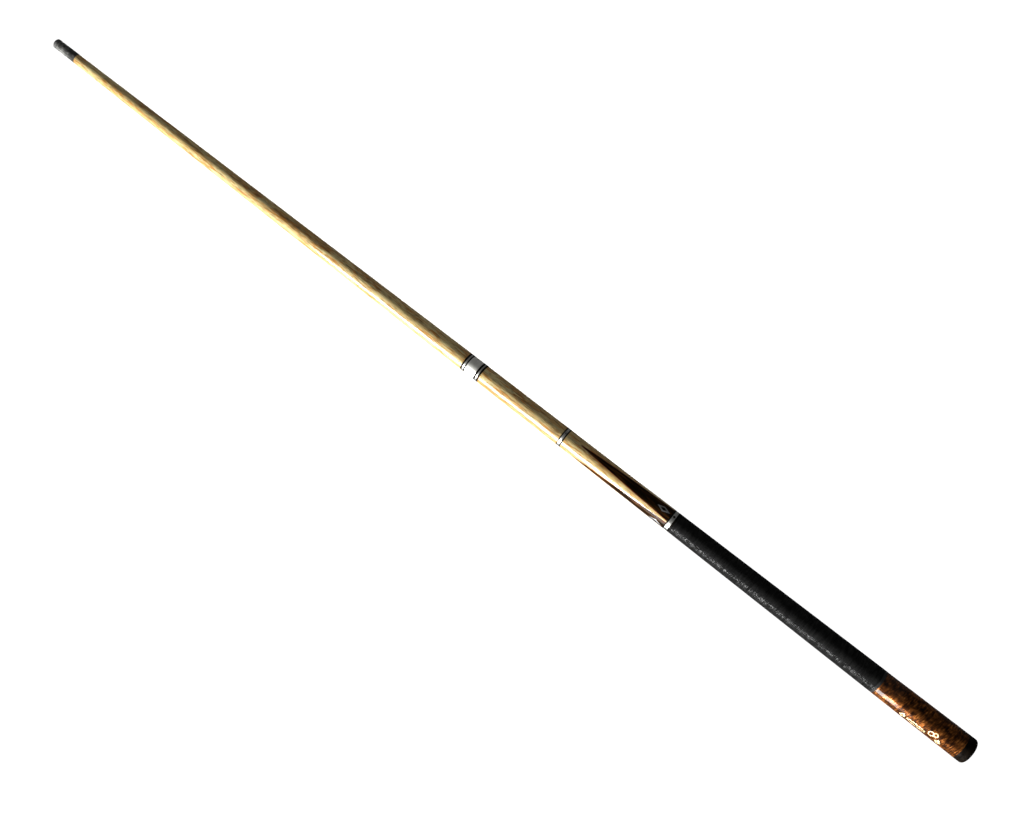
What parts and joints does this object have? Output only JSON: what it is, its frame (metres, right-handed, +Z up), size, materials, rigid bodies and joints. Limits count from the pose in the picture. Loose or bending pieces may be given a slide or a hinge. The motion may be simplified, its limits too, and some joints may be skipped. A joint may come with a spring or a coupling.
{
  "type": "pool cue",
  "caption": "Two-piece pool cue with a maple shaft, steel joint, pointed forearm, black thread wrap, figured wood sleeve and rubber bumper; the shaft unscrews.",
  "frame": {"origin": "centre of the flat on the end of the rubber bumper", "axes": "+X along the cue from the tip to the butt, out of the bumper; +Z up through one of the points when the cue lies down"},
  "size_m": [1.4444, 0.0316, 0.0316],
  "materials": {
    "tip_leather": "domed, dark, rough",
    "tip_fibre": "dull black fibre",
    "ferrule_black": "satin black",
    "maple": "clear gloss over pale maple with orange flecks",
    "ebony": "clear gloss over near-black wood",
    "figured_wood": "clear gloss over dark reddish brown wood with cross figure",
    "ring_black": "polished black",
    "ring_silver": "polished",
    "joint_steel": "turned and polished",
    "brass": "turned",
    "linen": "pressed black thread",
    "gold_inlay": "polished, cream gold",
    "rubber": "matt black"
  },
  "bodies": {
    "butt": {"joint_pin": "joint_steel", "joint_collar": "joint_steel", "butt_ring_black_front": "ring_black", "butt_ring_silver": "ring_silver", "butt_ring_black_rear": "ring_black", "forearm_front": "maple", "middle_ring_black_front": "ring_black", "middle_ring_silver": "ring_silver", "middle_ring_black_rear": "ring_black", "pointed_forearm": "maple", "point_1": "ebony", "lozenge_frame_1": "ring_silver", "lozenge_core_1": "ring_black", "point_2": "ebony", "lozenge_frame_2": "ring_silver", "lozenge_core_2": "ring_black", "point_3": "ebony", "lozenge_frame_3": "ring_silver", "lozenge_core_3": "ring_black", "point_4": "ebony", "lozenge_frame_4": "ring_silver", "lozenge_core_4": "ring_black", "wrap_ring_black_front": "ring_black", "wrap_ring_silver": "ring_silver", "wrap_ring_black_rear": "ring_black", "handle_core": "maple", "handle_stud": "joint_steel", "wrap": "linen", "weight_bolt": "joint_steel", "butt_sleeve": "figured_wood", "ornament_lozenge_front": "gold_inlay", "ornament_bar": "gold_inlay", "ornament_ring": "gold_inlay", "ornament_lozenge_rear": "gold_inlay", "butt_cap": "ring_black"},
    "insert": {"shaft_insert": "brass"},
    "shaft": {"tip": "tip_leather", "tip_pad": "tip_fibre", "ferrule": "ferrule_black", "shaft_wood": "maple", "shaft_ring_black_front": "ring_black", "shaft_ring_silver": "ring_silver", "shaft_ring_black_rear": "ring_black"},
    "bumper": {"bumper": "rubber"}
  },
  "joints": [
    {"name": "shaft_travel", "type": "slide", "parent": "butt", "child": "insert", "axis": [-1, 0, 0], "range_m": [0, 0.03302]},
    {"name": "shaft_turn", "type": "hinge", "parent": "insert", "child": "shaft", "pos_m": [-0.724, 0, 0], "axis": [-1, 0, 0], "range_deg": [0, 4680]},
    {"name": "bumper_pull", "type": "slide", "parent": "butt", "child": "bumper", "axis": [1, 0, 0], "range_m": [0, 0.028]}
  ],
  "couplings": [
    {"joint": "shaft_travel", "follows": "shaft_turn", "m_per_rad": 0.00040425}
  ]
}
